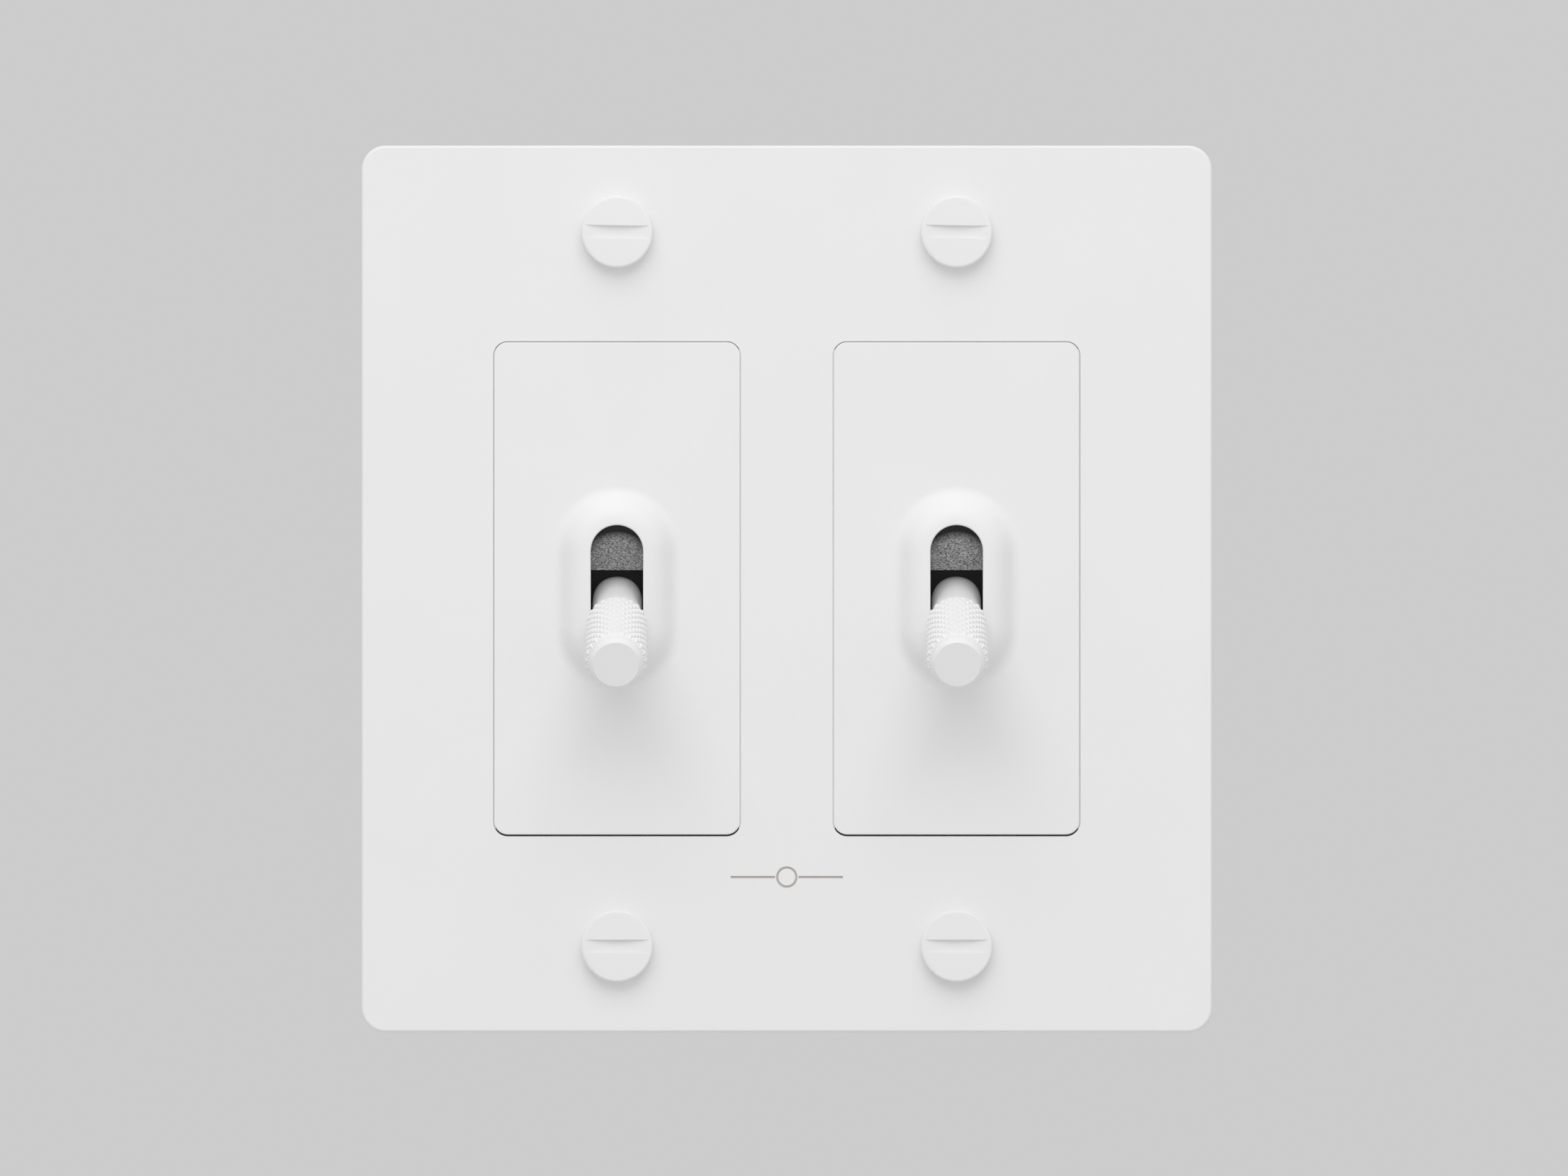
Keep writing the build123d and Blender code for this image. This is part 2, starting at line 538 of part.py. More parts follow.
# ---- yoke and housing ---------------------------------------------------------------------
def make_yoke(x):
    tab_x = -YOKE_NECK_WIDTH / 2 - YOKE_THICKNESS / 2
    with BuildPart() as yoke:
        with BuildSketch(facing_room(x, 0)):
            RectangleRounded(YOKE_WIDTH, YOKE_BODY_HEIGHT, YOKE_CORNER)
            RectangleRounded(YOKE_NECK_WIDTH, YOKE_HEIGHT, YOKE_CORNER)
            with GridLocations(2 * EAR_X, 2 * EAR_Z, 2, 2):
                Circle(EAR_RADIUS)
            with GridLocations(1, 2 * EAR_Z, 1, 2):
                Rectangle(2 * EAR_X, EAR_RADIUS)
            with Locations((tab_x, TAB_Z)):
                Rectangle(YOKE_THICKNESS, TAB_WIDTH)
            with GridLocations(2 * EAR_X, 2 * EAR_Z, 2, 2):
                Circle(EAR_HOLE_RADIUS, mode=Mode.SUBTRACT)
            Rectangle(2 * WINDOW_HALF_X, 2 * WINDOW_HALF_Z, mode=Mode.SUBTRACT)
            with GridLocations(1, BOX_SCREW_SPACING, 1, 2):
                SlotOverall(BOX_SLOT_LENGTH, BOX_SLOT_WIDTH, mode=Mode.SUBTRACT)
            with GridLocations(1, PLATE_SCREW_SPACING, 1, 2):
                Circle(TAPPED_RADIUS, mode=Mode.SUBTRACT)
            with GridLocations(2 * MODULE_SCREW_X, 2 * MODULE_SCREW_Z, 2, 2):
                Circle(MODULE_HOLE_RADIUS, mode=Mode.SUBTRACT)
        extrude(amount=YOKE_THICKNESS)
        with BuildSketch(facing_room(x, 0)):
            with Locations((tab_x, TAB_Z)):
                Rectangle(YOKE_THICKNESS, TAB_WIDTH)
        extrude(amount=-TAB_REACH)
        with BuildSketch(facing_right(x + tab_x)):
            with Locations((TAB_HOLE_Y, TAB_Z)):
                Circle(TERMINAL_SCREW_RADIUS)
        extrude(amount=YOKE_THICKNESS, both=True, mode=Mode.SUBTRACT)
    return yoke


def make_ground_screw(x):
    face = x - YOKE_NECK_WIDTH / 2 - YOKE_THICKNESS
    screw_made = slotted_screw(
        side_plane(face, -1, TAB_HOLE_Y, TAB_Z),
        YOKE_THICKNESS + TERMINAL_SCREW_LENGTH,
        TERMINAL_SCREW_RADIUS,
        TERMINAL_HEAD_RADIUS,
        TERMINAL_HEAD_HEIGHT,
    )
    with BuildPart() as screw:
        add(screw_made)
    return screw


def make_housing_cover(x):
    post_x = CHAMBER_HALF_WIDTH + RIB / 2
    post_end_y = PIVOT_Y - PIN_RADIUS
    with BuildPart() as cover:
        with BuildSketch(facing_room(x, 0)):
            RectangleRounded(HOUSING_WIDTH, HOUSING_HEIGHT, HOUSING_CORNER)
            Rectangle(2 * WINDOW_HALF_X, 2 * WINDOW_HALF_Z, mode=Mode.SUBTRACT)
            with GridLocations(2 * MODULE_SCREW_X, 2 * MODULE_SCREW_Z, 2, 2):
                Circle(MODULE_HOLE_RADIUS, mode=Mode.SUBTRACT)
        extrude(amount=-COVER_THICKNESS)
        # two posts keep the pivot pin at the bottom of its open slots
        with BuildSketch(facing_room(x, COVER_THICKNESS)):
            with GridLocations(2 * post_x, 1, 2, 1):
                Rectangle(RIB - 2 * POST_SIDE_GAP, 2 * (PIN_RADIUS - POST_EDGE_GAP))
        extrude(amount=COVER_THICKNESS - post_end_y)
    return cover


def make_housing_base(x):
    """A box with a middle chamber for the dolly and one at each side for the terminals."""
    side_x = CHAMBER_HALF_WIDTH + RIB + SIDE_CHAMBER_WIDTH / 2
    rib_x = CHAMBER_HALF_WIDTH + RIB / 2
    fixed_y = FULCRUM_Y + FIXED_CONTACT_GAP + FIXED_BUTTON_HEIGHT + STRAP / 2
    common_y = FULCRUM_Y + FULCRUM_RADIUS + STRAP / 2
    fixed_z = CONTACT_SPAN * cos(ROCK)
    strap_slots = [
        (rib_x, fixed_y, fixed_z, STRAP_HALF_HEIGHT),
        (rib_x, fixed_y, -fixed_z, STRAP_HALF_HEIGHT),
        (-rib_x, common_y, 0, COMMON_HALF_HEIGHT),
    ]
    wall_x = HOUSING_WIDTH / 2
    with BuildPart() as base:
        with BuildSketch(facing_room(x, COVER_THICKNESS)):
            RectangleRounded(HOUSING_WIDTH, HOUSING_HEIGHT, HOUSING_CORNER)
        extrude(amount=COVER_THICKNESS - HOUSING_END_Y)
        fillet(base.faces().sort_by(Axis.Y)[-1].edges(), radius=HOUSING_BACK_ROUND)
        with BuildSketch(facing_room(x, COVER_THICKNESS)):
            Rectangle(2 * CHAMBER_HALF_WIDTH, CHAMBER_HEIGHT)
            with GridLocations(2 * side_x, 1, 2, 1):
                Rectangle(SIDE_CHAMBER_WIDTH, SIDE_CHAMBER_HEIGHT)
        extrude(amount=COVER_THICKNESS - HOUSING_END_Y + FLOOR, mode=Mode.SUBTRACT)
        # open slots for the pivot pin, in both ribs
        with BuildSketch(facing_right(x)):
            with Locations((PIVOT_Y, 0)):
                Circle(PIN_RADIUS + PIN_CLEARANCE)
            with Locations(((COVER_THICKNESS + PIVOT_Y) / 2, 0)):
                Rectangle(PIVOT_Y - COVER_THICKNESS, 2 * (PIN_RADIUS + PIN_CLEARANCE))
        extrude(amount=CHAMBER_HALF_WIDTH + RIB, both=True, mode=Mode.SUBTRACT)
        for slot_x, slot_y, slot_z, half_height in strap_slots:
            with BuildSketch(level(x, slot_z)):
                with Locations((slot_x, slot_y)):
                    Rectangle(RIB + 2 * CUT_MARGIN, STRAP + 2 * STRAP_CLEARANCE)
            extrude(amount=half_height + STRAP_CLEARANCE, both=True, mode=Mode.SUBTRACT)
        # bays in the outer walls, where wires reach the terminal screws
        for outward, bay_z in TERMINAL_PLACES:
            with BuildSketch(side_plane(x + outward * wall_x, outward, 0, bay_z)):
                with Locations((outward * (BAY_FRONT_Y + BAY_BACK_Y) / 2, 0)):
                    Rectangle(BAY_BACK_Y - BAY_FRONT_Y, BAY_HEIGHT)
            extrude(amount=-(wall_x - side_x), mode=Mode.SUBTRACT)
        with BuildSketch(facing_room(x, COVER_THICKNESS)):
            with GridLocations(2 * MODULE_SCREW_X, 2 * MODULE_SCREW_Z, 2, 2):
                Circle(MODULE_HOLE_RADIUS)
        extrude(amount=COVER_THICKNESS - HOUSING_END_Y, mode=Mode.SUBTRACT)
        with BuildSketch(facing_room(x, HOUSING_END_Y)):
            with GridLocations(2 * MODULE_SCREW_X, 2 * MODULE_SCREW_Z, 2, 2):
                Circle(MODULE_HEAD_RADIUS + MODULE_HEAD_CLEARANCE)
        extrude(amount=MODULE_HEAD_HEIGHT, mode=Mode.SUBTRACT)
    return base


def make_module_screws(x):
    seat_y = HOUSING_END_Y - MODULE_HEAD_HEIGHT
    tip_y = -YOKE_THICKNESS - MODULE_SCREW_BITE
    screws_made = [
        slotted_screw(
            Plane(origin=(x + side_x, seat_y, z), x_dir=(1, 0, 0), z_dir=(0, 1, 0)),
            seat_y - tip_y,
            MODULE_SCREW_RADIUS,
            MODULE_HEAD_RADIUS,
            MODULE_HEAD_HEIGHT,
        )
        for side_x in (-MODULE_SCREW_X, MODULE_SCREW_X)
        for z in (-MODULE_SCREW_Z, MODULE_SCREW_Z)
    ]
    with BuildPart() as screws:
        add(screws_made)
    return screws


def make_box_screws(x):
    """Two screws that fasten the yoke to the wall box, with a thin neck where the yoke is."""
    heads = [
        slotted_screw(
            facing_room(x, -YOKE_THICKNESS, z),
            YOKE_THICKNESS + BOX_NECK_END,
            BOX_NECK_RADIUS,
            BOX_HEAD_RADIUS,
            BOX_HEAD_HEIGHT,
        )
        for z in (-BOX_SCREW_SPACING / 2, BOX_SCREW_SPACING / 2)
    ]
    with BuildPart() as screws:
        add(heads)
        with BuildSketch(facing_room(x, BOX_NECK_END)):
            with GridLocations(1, BOX_SCREW_SPACING, 1, 2):
                Circle(BOX_SCREW_RADIUS)
        extrude(amount=BOX_NECK_END - BOX_SCREW_END)
    return screws


def make_screw_retainers(x):
    with BuildPart() as retainers:
        with BuildSketch(facing_room(x, RETAINER_GAP)):
            with GridLocations(1, BOX_SCREW_SPACING, 1, 2):
                RectangleRounded(RETAINER_SIZE, RETAINER_SIZE, RETAINER_CORNER)
                Circle(BOX_NECK_RADIUS + RETAINER_GRIP, mode=Mode.SUBTRACT)
        extrude(amount=-RETAINER_THICKNESS)
    return retainers


# ---- build and write every piece ----------------------------------------------------------
MODULE_PIECES = {
    "face_panel": make_face_panel,
    "dolly": make_dolly,
    "lever_stem": make_lever_stem,
    "lever_grip": make_lever_grip,
    "lever_cap": make_lever_cap,
    "pivot_pin": make_pivot_pin,
    "plunger": make_plunger,
    "plunger_spring": make_plunger_spring,
    "contact_rocker": make_contact_rocker,
    "moving_contacts": make_moving_contacts,
    "fixed_contact_upper": lambda x: make_fixed_contact(x, 1),
    "fixed_contact_lower": lambda x: make_fixed_contact(x, -1),
    "common_terminal": make_common_terminal,
    "terminal_screws": make_terminal_screws,
    "housing_base": make_housing_base,
    "housing_cover": make_housing_cover,
    "yoke": make_yoke,
    "ground_screw": make_ground_screw,
    "module_screws": make_module_screws,
    "box_screws": make_box_screws,
    "screw_retainers": make_screw_retainers,
}

os.makedirs("parts", exist_ok=True)
write(make_front_plate(), "front_plate")
write(make_plate_screws(), "plate_screws")
for side, centre_x in SIDES.items():
    for piece_name, make_piece in MODULE_PIECES.items():
        write(make_piece(centre_x), f"{piece_name}_{side}")
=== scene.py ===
import json
import math

import bmesh
import bpy
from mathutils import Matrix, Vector


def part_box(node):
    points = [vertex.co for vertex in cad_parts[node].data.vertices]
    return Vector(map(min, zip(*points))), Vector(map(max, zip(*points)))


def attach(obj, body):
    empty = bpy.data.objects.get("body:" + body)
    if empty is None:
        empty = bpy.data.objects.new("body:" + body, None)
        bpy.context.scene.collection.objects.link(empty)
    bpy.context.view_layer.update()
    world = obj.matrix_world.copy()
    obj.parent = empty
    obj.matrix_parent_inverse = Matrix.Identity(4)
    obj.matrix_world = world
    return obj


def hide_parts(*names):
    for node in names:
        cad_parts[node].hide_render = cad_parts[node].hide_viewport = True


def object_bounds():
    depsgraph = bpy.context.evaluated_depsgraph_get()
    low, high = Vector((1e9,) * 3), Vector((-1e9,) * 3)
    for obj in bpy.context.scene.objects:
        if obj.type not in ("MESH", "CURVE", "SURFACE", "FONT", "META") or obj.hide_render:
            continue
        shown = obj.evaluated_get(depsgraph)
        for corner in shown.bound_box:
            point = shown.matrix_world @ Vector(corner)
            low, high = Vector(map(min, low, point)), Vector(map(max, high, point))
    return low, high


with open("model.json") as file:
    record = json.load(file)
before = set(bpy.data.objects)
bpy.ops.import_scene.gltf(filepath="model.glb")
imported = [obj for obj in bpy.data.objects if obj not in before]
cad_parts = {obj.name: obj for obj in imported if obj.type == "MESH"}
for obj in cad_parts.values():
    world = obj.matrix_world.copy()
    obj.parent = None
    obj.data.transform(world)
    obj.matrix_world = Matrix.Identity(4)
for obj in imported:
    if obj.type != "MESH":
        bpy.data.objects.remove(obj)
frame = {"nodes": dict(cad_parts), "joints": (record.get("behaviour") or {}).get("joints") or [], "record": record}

cad_low, cad_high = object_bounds()
MM = 0.001
RECORD = frame["record"]
JOINTS = {joint["name"]: joint for joint in frame["joints"]}
SIDES = ("left", "right")

# ---- the levers' own frame, from the record ---------------------------------------------------
PIVOTS = {side: Vector(JOINTS[f"lever_{side}_tip"]["pos_m"]) for side in SIDES}
LEVER_OUT = -Vector(JOINTS["plunger_left_slide"]["axis"]).normalized()
if LEVER_OUT.y > 0:
    LEVER_OUT.negate()
LEVER_ACROSS = LEVER_OUT.cross(Vector((-1, 0, 0))).normalized()
if LEVER_ACROSS.z < 0:
    LEVER_ACROSS.negate()


# ---- node material helpers --------------------------------------------------------------------
MIX_FACTOR, MIX_DARK, MIX_LIGHT, MIX_COLOUR = 0, 6, 7, 2      # a colour Mix node's sockets


class Nodes:
    """A small builder for one material's node tree."""

    def __init__(self, name):
        self.material = bpy.data.materials.new(name)
        self.material.use_nodes = True
        self.tree = self.material.node_tree
        self.shader = self.tree.nodes["Principled BSDF"]

    def add(self, kind, **values):
        node = self.tree.nodes.new(kind)
        for key, value in values.items():
            if key in node.inputs.keys():
                node.inputs[key].default_value = value
            else:
                setattr(node, key, value)
        return node

    def link(self, source, target):
        self.tree.links.new(source, target)

    def place(self, scales=(1.0, 1.0, 1.0)):
        """Object coordinates, in millimetres times a scale for each axis."""
        coordinates = self.add("ShaderNodeTexCoord")
        mapping = self.add("ShaderNodeMapping")
        for axis in range(3):
            mapping.inputs["Scale"].default_value[axis] = scales[axis] / MM
        self.link(coordinates.outputs["Object"], mapping.inputs["Vector"])
        return mapping.outputs["Vector"]

    def noise(self, vector, scale, detail=2.0, roughness=0.5):
        node = self.add("ShaderNodeTexNoise", Scale=scale, Detail=detail, Roughness=roughness)
        self.link(vector, node.inputs["Vector"])
        return node.outputs["Fac"]

    def spread(self, value, low, high, start=0.3, end=0.7):
        """The value's start to end range, spread over low to high."""
        node = self.add("ShaderNodeMapRange")
        node.inputs["From Min"].default_value = start
        node.inputs["From Max"].default_value = end
        node.inputs["To Min"].default_value = low
        node.inputs["To Max"].default_value = high
        self.link(value, node.inputs["Value"])
        return node.outputs["Result"]

    def blend(self, factor, dark, light):
        """Two colours blended by a factor from 0 to 1."""
        node = self.add("ShaderNodeMix", data_type="RGBA")
        node.inputs[MIX_DARK].default_value = (*dark, 1)
        node.inputs[MIX_LIGHT].default_value = (*light, 1)
        self.link(factor, node.inputs[MIX_FACTOR])
        return node.outputs[MIX_COLOUR]

    def math(self, operation, first, second):
        node = self.add("ShaderNodeMath", operation=operation)
        for socket, value in zip(node.inputs, (first, second)):
            if isinstance(value, (int, float)):
                socket.default_value = value
            else:
                self.link(value, socket)
        return node.outputs[0]

    def along(self, vector, direction, start_mm=0.0):
        """How far a place in millimetres is along a direction from a start."""
        node = self.add("ShaderNodeVectorMath", operation="DOT_PRODUCT")
        node.inputs[1].default_value = direction
        self.link(vector, node.inputs[0])
        return self.math("SUBTRACT", node.outputs["Value"], start_mm)

    def mix(self, factor, dark, light):
        """Two linked colours mixed by a factor."""
        node = self.add("ShaderNodeMix", data_type="RGBA")
        self.link(dark, node.inputs[MIX_DARK])
        self.link(light, node.inputs[MIX_LIGHT])
        self.link(factor, node.inputs[MIX_FACTOR])
        return node.outputs[MIX_COLOUR]

    def bump(self, height, distance_mm, strength=1.0, below=None):
        node = self.add("ShaderNodeBump", Strength=strength, Distance=distance_mm * MM)
        self.link(height, node.inputs["Height"])
        if below is not None:
            self.link(below, node.inputs["Normal"])
        return node.outputs["Normal"]

    def surface(self, colour=None, roughness=None, normal=None):
        sockets = {"Base Color": colour, "Roughness": roughness, "Normal": normal}
        for socket, value in sockets.items():
            if value is not None:
                self.link(value, self.shader.inputs[socket])
        return self.material


def grey(level):
    return (level, level, level)


# ---- coats and plastics, with lengths in millimetres and noise scales in features per millimetre
CLOUD_SCALE, PEEL_SCALE, FINE_SCALE = 0.06, 1.6, 6.0
CLOUD_DARK, CLOUD_LIGHT = 0.992, 1.006          # shares of the coat's own grey
PEEL_HEIGHT, FINE_HEIGHT, COAT_GLOSS, ROUGHNESS_SPREAD = 0.012, 0.004, 0.35, 0.05
# dark base colour for inner walls: partly the coat's dark underside, partly painted shade for the gaps round the
# panels
GAP_SHADE_UNDERCOAT_DARK, GAP_SHADE_UNDERCOAT_LIGHT = grey(0.012), grey(0.02)
GAP_SHADE_FADE = 0.15                    # the depth over which the coat gives way to the painted gap shade
# behind these depths the painted gap shade replaces the white coat
PANEL_GAP_SHADE_DEPTH, PLATE_GAP_SHADE_DEPTH = -5.1, -4.9
PLATE_INSIDE = (56.0, 58.5)         # half the width and height that are within the plate's edge
PANEL_INSIDE = (15.5, 32.0)         # the same for a panel, from the middle of its own gang
MOTIF_HALF_WIDTH, MOTIF_HEIGHT, MOTIF_HALF_HEIGHT = 9.0, -39.1, 2.0
MOTIF_FILL, MOTIF_SPREAD = (0.56, 0.52, 0.5), 1.05
GROOVE_START, GROOVE_END = 0.03, 0.25           # how far a groove is below the plate's front

PAD_RIDGE = 4.8                     # across the lever, where the grained face begins
# the arc where the grained face fades to smooth black copies the slot's upper lip shifted down: painted shadow of
# the lip
LIP_SHADOW_ARC_CENTRE, LIP_SHADOW_FADE, LIP_SHADOW_SIDE_SHARE = 6.4, (2.9, 4.3), 0.92
GRAIN_PER_MM, GRAIN_HEIGHT = 4.6, 0.12
GRAIN_DRAW = (0.75, 1.0, 1.25)      # the hide's creases run mostly sideways
# the black grain painted grey as a sheen: lighter crowns are painted highlights, darker creases painted shade
GRAIN_SHEEN_DARK, GRAIN_SHEEN_LIGHT = grey(0.17), grey(0.72)
PEBBLE_SLOPE = (0.36, 0.64)         # from a crease to a pebble's crown, painted from shade to highlight
MOTTLE_SCALE, MOTTLE_SHARE, DOLLY_FINE_SCALE, DOLLY_FINE_SHARE = 1.1, 0.06, 9.0, 0.2
DOLLY_DARK, DOLLY_LIGHT = grey(0.016), grey(0.024)
DOLLY_ROUGHNESS, DOLLY_FINE_HEIGHT, DOLLY_GLOSS = (0.48, 0.62), 0.004, 0.25

FLOW_SCALE, PLASTIC_ROUGHNESS_SPREAD = 0.12, 0.07
PATCH_SCALE, MARK_WEAR, PATCH_WEAR = 0.25, (0.8, 1.2), (0.85, 1.15)


def powder_coat(name, level, roughness=0.55, grain=1.0, gap_shade_area=None, filled=None):
    """White powder coat: a fine orange-peel skin with a faint cloudiness.

    Where a gap mask is given, it makes the factor by which the coat gives way to a dark colour underneath,
    which is partly the coat's dark underside and partly painted shade for the gaps round the panels; filled makes
    the factor for the engraving's warm grey fill.
    """
    build = Nodes(name)
    place = build.place()
    cloud = build.noise(place, CLOUD_SCALE, detail=3)
    peel = build.noise(place, PEEL_SCALE * grain, detail=2)
    fine = build.noise(place, FINE_SCALE * grain, detail=3, roughness=0.6)
    dark, light = grey(level * CLOUD_DARK), grey(min(1, level * CLOUD_LIGHT))
    colour = build.blend(build.spread(cloud, 0, 1), dark, light)
    if gap_shade_area:
        # painted shade for the gaps round the panels, on a dark base colour
        gap_shade_undercoat = build.blend(build.spread(peel, 0, 1), GAP_SHADE_UNDERCOAT_DARK, GAP_SHADE_UNDERCOAT_LIGHT)
        colour = build.mix(gap_shade_area(build, place), colour, gap_shade_undercoat)
    if filled:
        lighter = [part * MOTIF_SPREAD for part in MOTIF_FILL]
        filling = build.blend(build.spread(peel, 0, 1), MOTIF_FILL, lighter)
        colour = build.mix(filled(build, place), colour, filling)
    rough = build.spread(fine, roughness - ROUGHNESS_SPREAD, roughness + ROUGHNESS_SPREAD)
    normal = build.bump(peel, PEEL_HEIGHT, below=build.bump(fine, FINE_HEIGHT))
    build.shader.inputs["Specular IOR Level"].default_value = COAT_GLOSS
    return build.surface(colour, rough, normal)


def behind(build, place, depth):
    """Nought in front of a depth and one past it."""
    return build.spread(build.along(place, (0, 1, 0)), 0, 1, depth, depth + GAP_SHADE_FADE)


def off_middle(build, place, direction, middle=0.0):
    """How far a place is from the middle either way, or from two middles left and right."""
    away = build.math("ABSOLUTE", build.along(place, direction), 0)
    if not middle:
        return away
    return build.math("ABSOLUTE", build.math("SUBTRACT", away, middle), 0)


def inside_plate(build, place):
    """The cover's inner side and the walls of its openings, which get the painted gap shade."""
    across = build.math("LESS_THAN", off_middle(build, place, (1, 0, 0)), PLATE_INSIDE[0])
    up = build.math("LESS_THAN", off_middle(build, place, (0, 0, 1)), PLATE_INSIDE[1])
    within = build.math("MULTIPLY", across, up)
    return build.math("MULTIPLY", within, behind(build, place, PLATE_GAP_SHADE_DEPTH))


def in_engraving(build, place):
    """The grooves of the plain engraved ring and lines."""
    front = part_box("front_plate")[0].y / MM
    across = build.math("LESS_THAN", off_middle(build, place, (1, 0, 0)), MOTIF_HALF_WIDTH)
    away = build.math("ABSOLUTE", build.along(place, (0, 0, 1), MOTIF_HEIGHT), 0)
    band = build.math("MULTIPLY", across, build.math("LESS_THAN", away, MOTIF_HALF_HEIGHT))
    depth = build.along(place, (0, 1, 0), front)
    below = build.math("GREATER_THAN", depth, GROOVE_START)
    above = build.math("LESS_THAN", depth, GROOVE_END)
    return build.math("MULTIPLY", band, build.math("MULTIPLY", below, above))


def panel_sides(build, place):
    """A panel's outer sides, behind its front edge, which get the painted gap shade."""
    middle = PIVOTS["right"].x / MM
    sideways = off_middle(build, place, (1, 0, 0), middle)
    across = build.math("GREATER_THAN", sideways, PANEL_INSIDE[0])
    up = build.math("GREATER_THAN", off_middle(build, place, (0, 0, 1)), PANEL_INSIDE[1])
    edge = build.math("MAXIMUM", across, up)
    return build.math("MULTIPLY", edge, behind(build, place, PANEL_GAP_SHADE_DEPTH))


def dolly_plastic(name):
    """Black plastic, smooth round the neck, with a leather grain on the two wings' faces. The grain is painted
    grey as a sheen, with painted highlights on its crowns and painted shade in its creases, and the grained face
    fades out below the slot's upper lip as a painted shadow of the lip.
    """
    build = Nodes(name)
    place = build.place()
    pivot = PIVOTS["right"] / MM
    from_axis = build.along(place, LEVER_ACROSS, pivot.dot(LEVER_ACROSS))
    across = build.math("ABSOLUTE", from_axis, 0)
    off_side = off_middle(build, place, (1, 0, 0), pivot.x)
    sideways = build.math("MULTIPLY", off_side, LIP_SHADOW_SIDE_SHARE)
    beyond = build.math("MAXIMUM", build.math("SUBTRACT", across, LIP_SHADOW_ARC_CENTRE), 0)
    squares = [build.math("MULTIPLY", part, part) for part in (sideways, beyond)]
    away = build.math("SQRT", build.math("ADD", *squares), 0)
    # the grained face, faded out in an arc below the slot's upper lip: painted shadow of the lip
    grain_sheen_and_shadow_pad = build.math(
        "MULTIPLY",
        build.math("GREATER_THAN", across, PAD_RIDGE),
        build.spread(away, 1, 0, *LIP_SHADOW_FADE),
    )
    drawn = build.add("ShaderNodeMapping")
    drawn.inputs["Scale"].default_value = GRAIN_DRAW
    build.link(place, drawn.inputs["Vector"])
    hide = build.noise(drawn.outputs["Vector"], GRAIN_PER_MM, detail=2, roughness=0.6)
    pebble = build.spread(hide, 0, 1, *PEBBLE_SLOPE)
    mottle = build.noise(place, MOTTLE_SCALE, detail=3)
    fine = build.noise(place, DOLLY_FINE_SCALE, detail=3, roughness=0.6)
    mottled = build.spread(mottle, 1 - MOTTLE_SHARE, 1 + MOTTLE_SHARE)
    speckled = build.spread(fine, 1 - DOLLY_FINE_SHARE, 1 + DOLLY_FINE_SHARE)
    # painted sheen: crowns painted light as highlights, creases dark as shade
    light = build.math("MULTIPLY", build.math("MULTIPLY", pebble, mottled), speckled)
    grain = build.blend(light, GRAIN_SHEEN_DARK, GRAIN_SHEEN_LIGHT)
    smooth = build.blend(build.spread(fine, 0, 1), DOLLY_DARK, DOLLY_LIGHT)
    colour = build.mix(grain_sheen_and_shadow_pad, smooth, grain)
    rough = build.spread(fine, *DOLLY_ROUGHNESS)
    height = build.math("MULTIPLY", build.math("MULTIPLY", pebble, grain_sheen_and_shadow_pad), GRAIN_HEIGHT)
    height = build.math("ADD", height, build.math("MULTIPLY", fine, DOLLY_FINE_HEIGHT))
    build.shader.inputs["Specular IOR Level"].default_value = DOLLY_GLOSS
    return build.surface(colour, rough, build.bump(height, 1.0))


def plastic(name, dark, light, roughness, spark=4.0, depth_mm=0.01):
    """Moulded plastic with a fine spark-eroded skin and slight flow marks."""
    build = Nodes(name)
    place = build.place()
    flow = build.noise(place, FLOW_SCALE, detail=4)
    skin = build.noise(place, spark, detail=4, roughness=0.65)
    colour = build.blend(build.spread(flow, 0, 1), dark, light)
    low, high = roughness - PLASTIC_ROUGHNESS_SPREAD, roughness + PLASTIC_ROUGHNESS_SPREAD
    rough = build.spread(skin, low, high)
    return build.surface(colour, rough, build.bump(skin, depth_mm))


def metal(name, dark, light, roughness, brush=(6.0, 6.0, 0.25), depth_mm=0.004):
    """Plated or drawn metal with brush marks along its short grain axis and dull patches."""
    build = Nodes(name)
    marks = build.noise(build.place(brush), 1.0, detail=3)
    patches = build.noise(build.place(), PATCH_SCALE, detail=4)
    colour = build.blend(build.spread(patches, 0, 1), dark, light)
    worn, dulled = build.spread(marks, *MARK_WEAR), build.spread(patches, *PATCH_WEAR)
    wear = build.math("MULTIPLY", worn, dulled)
    rough = build.math("MULTIPLY", wear, roughness)
    build.shader.inputs["Metallic"].default_value = 1.0
    return build.surface(colour, rough, build.bump(marks, depth_mm))


